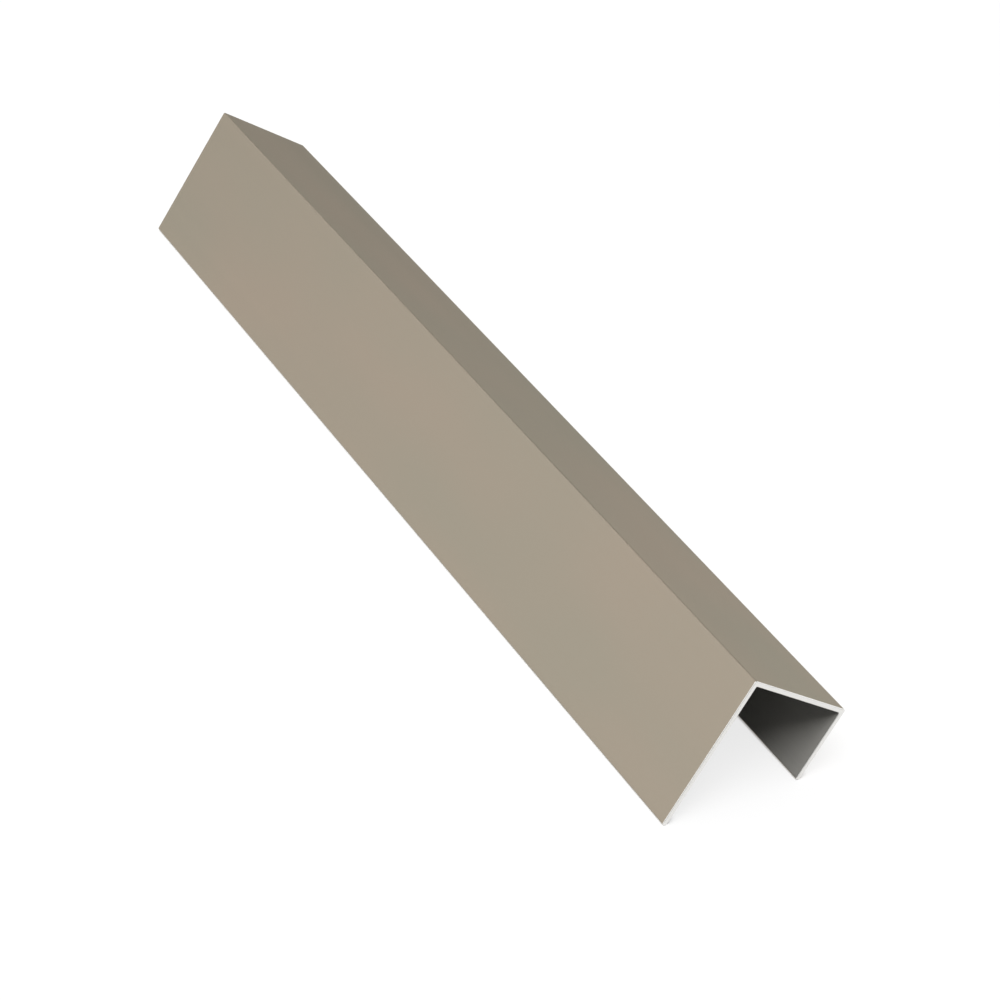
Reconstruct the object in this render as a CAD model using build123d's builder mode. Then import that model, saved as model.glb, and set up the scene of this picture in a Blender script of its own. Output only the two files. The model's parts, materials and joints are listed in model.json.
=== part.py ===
"""Unequal-leg aluminium channel: one extruded length of J-shaped section, sawn square at both ends.

The channel stands as it does unheld on a level floor, mouth down on its two leg tips. The legs differ,
so the web slopes down from the long leg to the short one. X runs along the length, Z is up, and the
origin is on the floor under the middle of the piece.
"""

import os
from math import atan2, cos, sin

from build123d import *

# Driving dimensions, in millimetres
length = 300.0  # sawn length
long_leg = 40.0  # outside, from the face of the web to the tip
short_leg = 20.0  # outside, from the face of the web to the tip
web_width = 30.0  # outside, across both legs
wall = 1.2  # the same in both legs and the web
arris_radius = 0.5  # the two outside corners
root_radius = 0.3  # the two inside corners
tip_round_share = 0.42  # radius of the leg tips' corners, as a share of the wall
end_break = 0.25  # chamfer where the sawn ends were deburred

tip_radius = tip_round_share * wall

# Rest pose: the floor touches the inner corner of the long tip and the outer corner of the short one.
# Both corners have the same radius, so the floor is parallel to the line between their centres.
rest_tilt = atan2(long_leg - short_leg, web_width - wall)
across = Vector(0, cos(rest_tilt), -sin(rest_tilt))  # along the web, from the long leg to the short one
outward = Vector(0, sin(rest_tilt), cos(rest_tilt))  # out of the web's face, away from the mouth


def section_point(along_web, above_web):
    """A point of the section, seen from the outside corner of the long leg and the web."""
    return across * along_web + outward * above_web


# How far the section reaches below and to each side of that corner, from the arcs that reach furthest
foot = section_point(wall - tip_radius, tip_radius - long_leg).Z - tip_radius
left = section_point(tip_radius, tip_radius - long_leg).Y - tip_radius
right = section_point(web_width - arris_radius, -arris_radius).Y + arris_radius
section_plane = Plane(origin=(0, -(left + right) / 2, -foot), x_dir=across, z_dir=(1, 0, 0))

# Corners of the section, seen from the outside corner of the long leg and the web, each with its radius
section_corners = [
    ((0, 0), arris_radius),
    ((web_width, 0), arris_radius),
    ((web_width, -short_leg), tip_radius),
    ((web_width - wall, -short_leg), tip_radius),
    ((web_width - wall, -wall), root_radius),
    ((wall, -wall), root_radius),
    ((wall, -long_leg), tip_radius),
    ((0, -long_leg), tip_radius),
]
corner_points, corner_radii = zip(*section_corners)

with BuildPart() as channel:
    with BuildSketch(section_plane):
        with BuildLine():
            FilletPolyline(*corner_points, radius=corner_radii, close=True)
        make_face()
    extrude(amount=length / 2, both=True)
    sawn_ends = channel.faces().filter_by(Axis.X)
    chamfer(sawn_ends.edges(), end_break)

channel.part.label = "channel"
os.makedirs("parts", exist_ok=True)
export_step(channel.part, "parts/channel.step")
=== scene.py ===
"""Dressed aluminium channel: satin champagne anodised skin and bright sawn ends, on a white studio floor.

The channel is modelled in an upright section frame: X along the length, Y across the web from the long
leg to the short one, Z out of the web's face, with the outside corner of the long leg and the web at the
origin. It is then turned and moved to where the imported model's faces are. Lengths are in metres.
"""

import json
import logging
import math
from dataclasses import dataclass
from enum import Enum
from typing import Any, Callable

import bmesh
import bpy
from mathutils import Matrix, Vector

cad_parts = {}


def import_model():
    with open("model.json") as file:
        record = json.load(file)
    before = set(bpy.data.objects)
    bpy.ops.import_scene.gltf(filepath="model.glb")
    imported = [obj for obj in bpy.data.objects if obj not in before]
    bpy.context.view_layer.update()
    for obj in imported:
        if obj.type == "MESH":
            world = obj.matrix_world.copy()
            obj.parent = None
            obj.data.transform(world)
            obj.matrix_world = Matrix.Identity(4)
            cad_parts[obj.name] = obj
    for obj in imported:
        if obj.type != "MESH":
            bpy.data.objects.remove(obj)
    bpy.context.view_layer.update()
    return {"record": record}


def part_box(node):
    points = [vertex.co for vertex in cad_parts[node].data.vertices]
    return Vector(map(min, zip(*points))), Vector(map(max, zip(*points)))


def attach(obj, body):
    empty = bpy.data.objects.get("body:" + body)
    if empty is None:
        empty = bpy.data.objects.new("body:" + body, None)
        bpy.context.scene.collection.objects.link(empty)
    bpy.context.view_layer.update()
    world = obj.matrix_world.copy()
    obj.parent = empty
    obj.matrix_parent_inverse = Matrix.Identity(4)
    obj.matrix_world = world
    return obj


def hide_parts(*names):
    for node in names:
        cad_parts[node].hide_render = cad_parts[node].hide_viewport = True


LOG = logging.getLogger("channel_scene")
BODY = "root"
NODE = "channel"
MM = 0.001
WHITE = (1.0, 1.0, 1.0, 1.0)
UNIT_RANGE = (0.0, 1.0)
TEXTURE_MIDDLE = (0.3, 0.7)  # what a texture's factor mostly keeps to
RING_RATE = 20.0  # radians of a wave texture's rings for each unit of radius

Colour = tuple[float, float, float, float]
Triple = tuple[float, float, float]
Span = tuple[float, float]


class SkinSlot(Enum):
    """Material slots of the channel, in the order in which they stand on its mesh."""

    OUTSIDE = 0
    INSIDE = 1
    SAWN = 2


class SeenBy(Enum):
    """Kinds of ray that see the floor as plain white."""

    CAMERA = "Is Camera Ray"
    GLOSSY = "Is Glossy Ray"
    TRANSMISSION = "Is Transmission Ray"


@dataclass(frozen=True)
class Grain:
    """Noise over a piece: the size of its cells, and the number and strength of its finer layers."""

    cell: Triple
    detail: float
    roughness: float


class FinishGraph:
    """Node tree of one finish, or of the surroundings."""

    def __init__(self, tree: bpy.types.NodeTree) -> None:
        """Keeps the tree and empties it."""
        self.tree = tree
        self.tree.nodes.clear()

    def feed(self, socket: bpy.types.NodeSocket, value: Any) -> None:
        """Gives an input its value.

        Args:
            socket: The input.
            value: A constant, or the output of another node.
        """
        if isinstance(value, bpy.types.NodeSocket):
            self.tree.links.new(value, socket)
        else:
            socket.default_value = value

    def add(self, kind: str, inputs: dict[str | int, Any] | None = None, **settings: Any) -> bpy.types.Node:
        """Adds a node.

        Args:
            kind: Type of the node, without its ShaderNode prefix.
            inputs: Constants or outputs for the node's inputs, by name or number.
            settings: Properties of the node itself.

        Returns:
            The new node.
        """
        node = self.tree.nodes.new("ShaderNode" + kind)
        for key, value in settings.items():
            setattr(node, key, value)
        for key, value in (inputs or {}).items():
            self.feed(node.inputs[key], value)
        return node

    def place(self) -> bpy.types.NodeSocket:
        """Gives the place on the piece, in its own coordinates."""
        return self.add("TexCoord").outputs["Object"]

    def mix_colour(self, share: Any, first: Any, second: Any, blend: str = "MIX") -> bpy.types.NodeSocket:
        """Mixes two colours.

        Args:
            share: Share of the second colour, a number or a socket.
            first: Colour or socket.
            second: Colour or socket.
            blend: Way of mixing.

        Returns:
            The mixed colour's socket.
        """
        node = self.add("Mix", data_type="RGBA", blend_type=blend)
        sockets = [socket for socket in node.inputs if socket.enabled]
        for socket, value in zip(sockets, (share, first, second)):
            self.feed(socket, value)
        return next(socket for socket in node.outputs if socket.enabled)

    def arithmetic(self, operation: str, first: Any, second: Any) -> bpy.types.NodeSocket:
        """Works out one operation, such as MULTIPLY, on two numbers or sockets."""
        return self.add("Math", {0: first, 1: second}, operation=operation).outputs[0]

    def grey(self, level: bpy.types.NodeSocket) -> bpy.types.NodeSocket:
        """Makes a grey of one level."""
        return self.add("CombineColor", {"Red": level, "Green": level, "Blue": level}).outputs["Color"]

    def mapped(
        self, value: bpy.types.NodeSocket, source: Span, result: Span, **settings: Any
    ) -> bpy.types.NodeSocket:
        """Maps one range of values onto another.

        Args:
            value: Socket of the value.
            source: Ends of the range that the value comes from.
            result: Ends of the range that it is mapped onto.
            settings: Properties of the node, such as its way between the ends.

        Returns:
            The mapped value's socket.
        """
        ends = dict(zip(("From Min", "From Max", "To Min", "To Max"), source + result))
        return self.add("MapRange", {"Value": value, **ends}, **settings).outputs["Result"]

    def noise(self, grain: Grain) -> bpy.types.NodeSocket:
        """Adds noise on the piece's own coordinates.

        Args:
            grain: Cells and finer layers of the noise.

        Returns:
            The socket of the noise factor.
        """
        scale = tuple(1.0 / size for size in grain.cell)
        mapping = self.add("Mapping", {"Vector": self.place(), "Scale": scale})
        inputs = {
            "Vector": mapping.outputs["Vector"],
            "Scale": 1.0,
            "Detail": grain.detail,
            "Roughness": grain.roughness,
        }
        return self.add("TexNoise", inputs).outputs["Fac"]

    def relief(
        self, pattern: bpy.types.NodeSocket, height: float, under: bpy.types.NodeSocket | None = None
    ) -> bpy.types.NodeSocket:
        """Adds fine relief.

        Args:
            pattern: Socket of the relief's pattern.
            height: Height of the relief.
            under: Normals of a coarser relief that this one lies on.

        Returns:
            The socket of the relief's normals.
        """
        inputs: dict[str | int, Any] = {"Height": pattern, "Distance": height, "Strength": 1.0}
        if under is not None:
            inputs["Normal"] = under
        return self.add("Bump", inputs).outputs["Normal"]

    def finish(self, shader: bpy.types.Node) -> None:
        """Joins the shader to a new output."""
        self.add("OutputMaterial", {"Surface": shader.outputs[0]})


def new_finish(name: str) -> tuple[bpy.types.Material, FinishGraph]:
    """Starts a finish.

    Args:
        name: Name of the material.

    Returns:
        The new material and its empty node tree.
    """
    material = bpy.data.materials.new(name)
    material.use_nodes = True
    return material, FinishGraph(material.node_tree)


@dataclass(frozen=True)
class AnodisedSkin:
    """Satin champagne anodising over an extruded face, with its faint lines along the length."""

    name: str = "anodised_champagne"
    colour: Colour = (0.400, 0.341, 0.274, 1.0)
    cool_colour: Colour = (0.376, 0.338, 0.272, 1.0)
    edge_tint: Colour = (0.80, 0.82, 0.77, 1.0)
    metallic: float = 1.0
    gloss_level: float = 0.5
    roughness: Span = (0.60, 0.66)
    die_lines: Grain = Grain(cell=(400 * MM, 0.9 * MM, 0.9 * MM), detail=3.0, roughness=0.6)
    drift: Grain = Grain(cell=(70 * MM, 30 * MM, 30 * MM), detail=1.0, roughness=0.5)
    etch: Grain = Grain(cell=(0.22 * MM, 0.22 * MM, 0.22 * MM), detail=1.0, roughness=0.5)
    line_shade: float = 0.05
    line_relief: float = 0.004 * MM
    etch_relief: float = 0.002 * MM

    def make(self) -> bpy.types.Material:
        """Builds the finish.

        Returns:
            The material.
        """
        material, graph = new_finish(self.name)
        lines = graph.noise(self.die_lines)
        drift = graph.mapped(graph.noise(self.drift), TEXTURE_MIDDLE, UNIT_RANGE)
        tinted = graph.mix_colour(drift, self.colour, self.cool_colour)
        shade = graph.grey(graph.mapped(lines, TEXTURE_MIDDLE, (1.0 - self.line_shade, 1.0)))
        lined = graph.relief(lines, self.line_relief)
        shader_inputs = {
            "Base Color": graph.mix_colour(1.0, tinted, shade, blend="MULTIPLY"),
            "Metallic": self.metallic,
            "Specular IOR Level": self.gloss_level,
            "Roughness": graph.mapped(lines, TEXTURE_MIDDLE, self.roughness),
            "Specular Tint": self.edge_tint,
            "Normal": graph.relief(graph.noise(self.etch), self.etch_relief, under=lined),
        }
        graph.finish(graph.add("BsdfPrincipled", shader_inputs))
        return material


@dataclass(frozen=True)
class SawnMetal:
    """Bare aluminium as a circular saw leaves it, with the fine arcs of its teeth."""

    name: str = "sawn_bare_metal"
    colour: Colour = (0.79, 0.781, 0.757, 1.0)
    metallic: float = 1.0
    roughness: Span = (0.36, 0.42)
    blade_centre: Triple = (0.0, 90 * MM, 150 * MM)
    mark_pitch: float = 0.4 * MM
    mark_waver: float = 1.5
    mark_detail: float = 2.0
    mark_relief: float = 0.002 * MM

    def make(self) -> bpy.types.Material:
        """Builds the finish.

        Returns:
            The material.
        """
        material, graph = new_finish(self.name)
        offset = tuple(-value for value in self.blade_centre)
        mapping = graph.add("Mapping", {"Vector": graph.place(), "Location": offset})
        wave_inputs = {
            "Vector": mapping.outputs["Vector"],
            "Scale": math.tau / (RING_RATE * self.mark_pitch),
            "Distortion": self.mark_waver,
            "Detail": self.mark_detail,
        }
        wave = graph.add("TexWave", wave_inputs, wave_type="RINGS", rings_direction="X")
        marks = wave.outputs["Fac"]
        shader_inputs = {
            "Base Color": self.colour,
            "Metallic": self.metallic,
            "Roughness": graph.mapped(marks, TEXTURE_MIDDLE, self.roughness),
            "Normal": graph.relief(marks, self.mark_relief),
        }
        graph.finish(graph.add("BsdfPrincipled", shader_inputs))
        return material


@dataclass(frozen=True)
class WhiteFloor:
    """White floor that is seen whiter than it lights, and keeps the shadow of the piece."""

    name: str = "white_floor"
    bounce: float = 0.15  # shade of the floor for the light that it throws back
    white_share: Span = (0.8, 1.0)  # near the piece and far off
    white_reach: Span = (0.25, 0.6)  # where that share starts to rise and where it is full
    # Painted contact shadow: ambient occlusion takes the white glow off the floor close to the feet, so the
    # floor's own lit shade shows there. The next three values set it.
    contact_shadow_reach: float = 3.0 * MM  # how near a foot darkens the floor
    contact_shadow_openness: Span = (0.1, 0.75)  # open share of the sky at which no white and all of it shows
    contact_shadow_samples: int = 12

    def make(self) -> bpy.types.Material:
        """Builds the finish.

        Returns:
            The material.
        """
        material, graph = new_finish(self.name)
        seen = self._seen(graph)
        paint = graph.grey(graph.mapped(seen, UNIT_RANGE, (self.bounce, 1.0)))
        lit = graph.add("BsdfDiffuse", {"Color": paint})
        white = graph.add("Emission", {"Color": WHITE, "Strength": 1.0})
        share = graph.arithmetic("MULTIPLY", seen, self._whiteness(graph))
        graph.finish(graph.add("MixShader", {0: share, 1: lit.outputs[0], 2: white.outputs[0]}))
        material.cycles.emission_sampling = "NONE"
        return material

    def _whiteness(self, graph: FinishGraph) -> bpy.types.NodeSocket:
        """Works out how white the floor is: fully far off, less near the piece and least under its feet,
        where an ambient-occlusion mask paints a contact shadow by taking the white glow away.

        Args:
            graph: Node tree to work in.

        Returns:
            Socket of the white share.
        """
        away = graph.add("VectorMath", {0: graph.place()}, operation="LENGTH").outputs["Value"]
        ground = graph.mapped(away, self.white_reach, self.white_share, interpolation_type="SMOOTHSTEP")
        # Painted contact shadow: the white share fades where ambient occlusion finds the floor shut in by
        # the feet.
        contact_occlusion = graph.add("AmbientOcclusion", {"Distance": self.contact_shadow_reach}, samples=self.contact_shadow_samples)
        painted_contact_fade = graph.mapped(contact_occlusion.outputs["AO"], self.contact_shadow_openness, UNIT_RANGE)
        return graph.arithmetic("MULTIPLY", ground, painted_contact_fade)

    @staticmethod
    def _seen(graph: FinishGraph) -> bpy.types.NodeSocket:
        """Brings together the kinds of ray that see the plain white.

        Args:
            graph: Node tree to work in.

        Returns:
            Socket that is 1 for those rays and 0 for others.
        """
        path = graph.add("LightPath")
        total: Any = 0.0
        for kind in SeenBy:
            total = graph.arithmetic("MAXIMUM", total, path.outputs[kind.value])
        return total


def select_only(piece: bpy.types.Object) -> None:
    """Selects one object and makes it the active one.

    Args:
        piece: The object.
    """
    bpy.ops.object.select_all(action="DESELECT")
    piece.select_set(True)
    bpy.context.view_layer.objects.active = piece


def apply_modifier(piece: bpy.types.Object, kind: str, **settings: Any) -> None:
    """Adds a modifier to a piece and applies it.

    Args:
        piece: The piece.
        kind: Type of the modifier.
        settings: Properties of the modifier.
    """
    modifier = piece.modifiers.new(kind.lower(), kind)
    for key, value in settings.items():
        setattr(modifier, key, value)
    select_only(piece)
    bpy.ops.object.modifier_apply(modifier=modifier.name)


class EditSession:
    """Edit mode on one piece, with its edges and faces selected by a test of their place or normal."""

    def __init__(self, piece: bpy.types.Object) -> None:
        """Keeps the piece that is edited."""
        self.piece = piece

    def __enter__(self) -> "EditSession":
        """Selects the piece alone and opens edit mode on it.

        Returns:
            The session.
        """
        select_only(self.piece)
        bpy.ops.object.mode_set(mode="EDIT")
        bpy.ops.mesh.select_all(action="DESELECT")
        return self

    def __exit__(self, *problem: Any) -> None:
        """Closes edit mode."""
        bpy.ops.object.mode_set(mode="OBJECT")

    def edges(self, test: Callable[[bmesh.types.BMEdge], bool]) -> None:
        """Selects the edges that pass a test, and nothing else.

        Args:
            test: Says whether an edge is wanted.
        """
        bpy.ops.mesh.select_mode(type="EDGE")
        bpy.ops.mesh.select_all(action="DESELECT")
        mesh = bmesh.from_edit_mesh(self.piece.data)
        for edge in mesh.edges:
            edge.select_set(test(edge))
        bmesh.update_edit_mesh(self.piece.data)

    def faces(self, test: Callable[[bmesh.types.BMFace], bool]) -> None:
        """Selects the faces that pass a test, and nothing else.

        Args:
            test: Says whether a face is wanted.
        """
        bpy.ops.mesh.select_mode(type="FACE")
        bpy.ops.mesh.select_all(action="DESELECT")
        mesh = bmesh.from_edit_mesh(self.piece.data)
        mesh.normal_update()
        for face in mesh.faces:
            face.select_set(test(face))
        bmesh.update_edit_mesh(self.piece.data)

    def bevel(self, size: float, steps: int) -> None:
        """Rounds the selected edges.

        Args:
            size: How far the round reaches from the edge.
            steps: Number of faces across the round.
        """
        bpy.ops.mesh.bevel(offset=size, segments=steps, affect="EDGES", clamp_overlap=False)

    def extrude(self, across: float, out: float) -> None:
        """Draws the selected edges out into new faces.

        Args:
            across: How far they go across the web.
            out: How far they go out of the web's face.
        """
        bpy.ops.mesh.extrude_region_move(TRANSFORM_OT_translate={"value": (0.0, across, out)})


@dataclass
class Channel:
    """The extruded channel: a long leg, a web and a short leg of one wall, sawn square at both ends."""

    length: float
    long_leg: float
    short_leg: float
    web_width: float
    seat: Matrix
    wall: float = 1.2 * MM
    arris_radius: float = 0.5 * MM
    root_radius: float = 0.3 * MM
    tip_round_share: float = 0.42
    end_break: float = 0.25 * MM
    arc_steps: int = 12
    break_steps: int = 4
    smooth_angle: float = math.radians(35.0)
    near: float = 0.02 * MM  # an edge closer than this to a place is at it
    inside_share: float = 0.9  # an inside face lies deeper than this share of the wall
    end_facing: float = 0.9  # least X of the normal on a sawn end
    sawn_facing: float = 0.1  # least X of the normal on its broken edge
    outside: AnodisedSkin = AnodisedSkin()
    # Painted shade: the inside faces get a greyer, darker, nearly matte copy of the champagne anodising,
    # standing in for the dim light inside the channel.
    inside: AnodisedSkin = AnodisedSkin(
        name="anodised_inside_painted_shade",
        colour=(0.34, 0.330, 0.308, 1.0),
        cool_colour=(0.328, 0.324, 0.302, 1.0),
        metallic=0.03,
        gloss_level=0.1,
    )
    sawn: SawnMetal = SawnMetal()

    @classmethod
    def from_frame(cls, record: dict[str, Any]) -> "Channel":
        """Reads the channel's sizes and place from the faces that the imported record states.

        Args:
            record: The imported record.

        Returns:
            The channel.
        """
        faces = {mount["name"]: mount for mount in record["mounts"]}
        places = {name: Vector(mount["pos_m"]) for name, mount in faces.items()}
        outward = Vector(faces["web_face"]["axis"]).normalized()
        across = Vector(faces["short_leg_face"]["axis"]).normalized()
        web_width = (places["short_leg_face"] - places["long_leg_face"]).dot(across)
        half_long = (places["web_face"] - places["long_leg_face"]).dot(outward)
        half_short = (places["web_face"] - places["short_leg_face"]).dot(outward)
        corner = places["long_leg_face"] + outward * half_long
        low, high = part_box(NODE)
        along = across.cross(outward)
        seat = Matrix.Translation(corner) @ Matrix((along, across, outward)).transposed().to_4x4()
        return cls(
            length=high.x - low.x,
            long_leg=2 * half_long,
            short_leg=2 * half_short,
            web_width=web_width,
            seat=seat,
        )

    def build(self) -> bpy.types.Object:
        """Models the channel and seats it in the frame.

        Returns:
            The finished piece, without materials.
        """
        piece = self._draw_sheet()
        inward = -1.0
        apply_modifier(piece, "SOLIDIFY", thickness=self.wall, offset=inward, use_even_offset=True)
        self._round_edges(piece)
        self._break_ends(piece)
        select_only(piece)
        piece.matrix_world = self.seat
        bpy.ops.object.transform_apply(location=True, rotation=True, scale=True)
        bpy.ops.object.shade_smooth_by_angle(angle=self.smooth_angle)
        apply_modifier(piece, "WEIGHTED_NORMAL", mode="FACE_AREA", keep_sharp=True)
        return piece

    def dress(self, piece: bpy.types.Object) -> None:
        """Gives the channel its anodised skin, a greyer, nearly matte copy of it on the inside faces as
        painted shade, and bare metal on the sawn ends.

        Args:
            piece: The channel's object.
        """
        finishes = {SkinSlot.OUTSIDE: self.outside, SkinSlot.INSIDE: self.inside, SkinSlot.SAWN: self.sawn}
        for slot in SkinSlot:
            piece.data.materials.append(finishes[slot].make())
        tests = {SkinSlot.INSIDE: self._faces_mouth, SkinSlot.SAWN: self._is_sawn}
        with EditSession(piece) as session:
            for slot, test in tests.items():
                session.faces(test)
                piece.active_material_index = slot.value
                bpy.ops.object.material_slot_assign()

    def _draw_sheet(self) -> bpy.types.Object:
        """Draws the outer faces as one folded sheet, from the long leg over the web to the short leg.

        Returns:
            The sheet's object.
        """
        bpy.ops.object.select_all(action="DESELECT")
        bpy.ops.mesh.primitive_plane_add(
            size=1.0, location=(0.0, 0.0, -self.long_leg / 2), rotation=(math.pi / 2, 0.0, 0.0)
        )
        piece = bpy.context.active_object
        piece.name = piece.data.name = "channel_profile"
        piece.scale = (self.length, self.long_leg, 1.0)
        bpy.ops.object.transform_apply(location=True, rotation=True, scale=True)
        with EditSession(piece) as session:
            session.edges(self._runs_at(0.0, 0.0))
            session.extrude(self.web_width, 0.0)
            session.extrude(0.0, -self.short_leg)
            bpy.ops.mesh.select_all(action="SELECT")
            bpy.ops.mesh.normals_make_consistent(inside=False)
        return piece

    def _round_edges(self, piece: bpy.types.Object) -> None:
        """Rounds the arrises, the roots and the leg tips along the whole length.

        Args:
            piece: The channel's object, as sharp plates.
        """
        tip_radius = self.tip_round_share * self.wall
        inner = self.web_width - self.wall
        rounds = {
            (0.0, 0.0): self.arris_radius,
            (self.web_width, 0.0): self.arris_radius,
            (self.wall, -self.wall): self.root_radius,
            (inner, -self.wall): self.root_radius,
            (0.0, -self.long_leg): tip_radius,
            (self.wall, -self.long_leg): tip_radius,
            (inner, -self.short_leg): tip_radius,
            (self.web_width, -self.short_leg): tip_radius,
        }
        with EditSession(piece) as session:
            session.edges(self._is_mitre)
            bpy.ops.mesh.dissolve_edges()
            for (across, out), radius in rounds.items():
                session.edges(self._runs_at(across, out))
                session.bevel(radius, self.arc_steps)

    def _break_ends(self, piece: bpy.types.Object) -> None:
        """Takes the sharp edge off both sawn ends.

        Args:
            piece: The channel's object, with its lengthwise edges rounded.
        """
        with EditSession(piece) as session:
            session.edges(self._lies_on_end)
            session.bevel(self.end_break, self.break_steps)

    def _runs_at(self, across: float, out: float) -> Callable[[bmesh.types.BMEdge], bool]:
        """Makes a test for the lengthwise edge at one point of the section.

        Args:
            across: Place of the edge across the web.
            out: Place of the edge out of the web's face.

        Returns:
            The test.
        """

        def test(edge: bmesh.types.BMEdge) -> bool:
            """Says whether both ends of the edge are at that point of the section."""
            places = [vert.co for vert in edge.verts]
            return all(abs(co.y - across) < self.near and abs(co.z - out) < self.near for co in places)

        return test

    def _lies_on_end(self, edge: bmesh.types.BMEdge) -> bool:
        """Says whether an edge lies in one of the sawn ends."""
        middle = sum(vert.co.x for vert in edge.verts) / 2
        return abs(abs(middle) - self.length / 2) < self.near

    def _is_mitre(self, edge: bmesh.types.BMEdge) -> bool:
        """Says whether an edge parts two flush faces of a sawn end."""
        flush = all(abs(face.normal.x) > self.end_facing for face in edge.link_faces)
        return self._lies_on_end(edge) and flush

    def _is_sawn(self, face: bmesh.types.BMFace) -> bool:
        """Says whether a face belongs to a sawn end or its broken edge."""
        return abs(face.normal.x) > self.sawn_facing

    def _faces_mouth(self, face: bmesh.types.BMFace) -> bool:
        """Says whether a face lies inside the channel, between the legs and below the web.

        Args:
            face: Face of the seated piece.

        Returns:
            True for a face of the mouth.
        """
        place = self.seat.inverted() @ face.calc_center_median()
        depth = self.inside_share * self.wall
        return depth < place.y < self.web_width - depth and place.z < -depth


def direction(azimuth: float, elevation: float) -> Vector:
    """Unit vector from the piece towards a viewer.

    Args:
        azimuth: Degrees round the piece. At 0 the viewer looks along +Y, and at 90 along -X.
        elevation: Degrees above the horizon.

    Returns:
        The unit vector.
    """
    turn = math.radians(azimuth)
    rise = math.radians(elevation)
    level = math.cos(rise)
    return Vector((math.sin(turn) * level, -math.cos(turn) * level, math.sin(rise)))


def set_up(item: bpy.types.Object, target: Triple, back: Vector, distance: float) -> None:
    """Puts a lamp or camera into the scene, facing a target.

    Args:
        item: The lamp or camera.
        target: Place that it faces.
        back: Unit vector from the target towards it.
        distance: How far it is from the target.
    """
    bpy.context.scene.collection.objects.link(item)
    item.location = Vector(target) + back * distance
    item.rotation_euler = (-back).to_track_quat("-Z", "Y").to_euler()


@dataclass(frozen=True)
class SoftLamp:
    """A square soft box of a studio, aimed at the floor under the middle of the piece."""

    name: str
    azimuth: float
    elevation: float
    distance: float
    size: float
    level: float
    target: Triple = (0.0, 0.0, 0.0)

    def build(self) -> bpy.types.Object:
        """Hangs the lamp, whose level is its brightness as a share of plain white.

        Returns:
            The lamp's object.
        """
        data = bpy.data.lights.new(self.name, "AREA")
        data.shape = "SQUARE"
        data.size = self.size
        data.energy = self.level * math.pi * self.size**2
        lamp = bpy.data.objects.new(self.name, data)
        set_up(lamp, self.target, direction(self.azimuth, self.elevation), self.distance)
        lamp.visible_camera = False
        return lamp


@dataclass
class Studio:
    """White floor, pale surroundings and soft lamps."""

    floor_size: float = 40.0
    floor: WhiteFloor = WhiteFloor()
    world_level: float = 0.1
    lamps: tuple[SoftLamp, ...] = (
        SoftLamp("key_lamp", azimuth=-24.0, elevation=24.0, distance=1.3, size=1.5, level=1.49),
        SoftLamp("back_lamp", azimuth=180.0, elevation=20.0, distance=1.4, size=1.2, level=1.72),
        SoftLamp("overhead_lamp", azimuth=70.0, elevation=66.0, distance=1.3, size=0.8, level=6.8),
        SoftLamp("edge_lamp", azimuth=42.0, elevation=12.0, distance=1.3, size=1.0, level=0.5),
        SoftLamp("arris_lamp", azimuth=270.0, elevation=45.0, distance=1.4, size=0.9, level=1.9),
    )

    def build(self) -> None:
        """Lays the floor, lights the surroundings and hangs the lamps."""
        self._lay_floor()
        self._light_world()
        for lamp in self.lamps:
            lamp.build()

    def _lay_floor(self) -> None:
        """Lays the floor under the piece."""
        bpy.ops.object.select_all(action="DESELECT")
        bpy.ops.mesh.primitive_plane_add(size=self.floor_size)
        floor = bpy.context.active_object
        floor.name = "studio_floor"
        floor.data.materials.append(self.floor.make())

    def _light_world(self) -> None:
        """Gives the surroundings one pale level."""
        world = bpy.data.worlds.new("studio_world")
        world.use_nodes = True
        bpy.context.scene.world = world
        graph = FinishGraph(world.node_tree)
        background = graph.add("Background", {"Color": WHITE, "Strength": self.world_level})
        graph.add("OutputWorld", {"Surface": background.outputs[0]})


@dataclass(frozen=True)
class PhotoCamera:
    """The camera, at the photograph's viewing angle."""

    azimuth: float = 62.861
    elevation: float = 34.884
    distance: float = 0.83325
    target: Triple = (0.01638, 0.00371, -0.00198)
    lens_mm: float = 115.84
    sensor_mm: float = 36.0

    def build(self) -> bpy.types.Object:
        """Sets up the camera and makes it the scene's.

        Returns:
            The camera's object.
        """
        data = bpy.data.cameras.new("photo_camera")
        data.lens = self.lens_mm
        data.sensor_width = self.sensor_mm
        camera = bpy.data.objects.new("photo_camera", data)
        set_up(camera, self.target, direction(self.azimuth, self.elevation), self.distance)
        bpy.context.scene.camera = camera
        return camera


def main() -> None:
    """Loads the frame, builds and dresses the channel, and sets up the studio and the camera."""
    logging.basicConfig(level=logging.INFO, format="%(name)s: %(message)s")
    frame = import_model()

    channel = Channel.from_frame(frame["record"])
    piece = channel.build()
    channel.dress(piece)
    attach(piece, BODY)
    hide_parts(NODE)
    LOG.info("%s has %d faces and rides on %s", piece.name, len(piece.data.polygons), BODY)

    Studio().build()
    PhotoCamera().build()
    bpy.context.scene.view_settings.view_transform = "Standard"


if __name__ == "__main__":
    main()
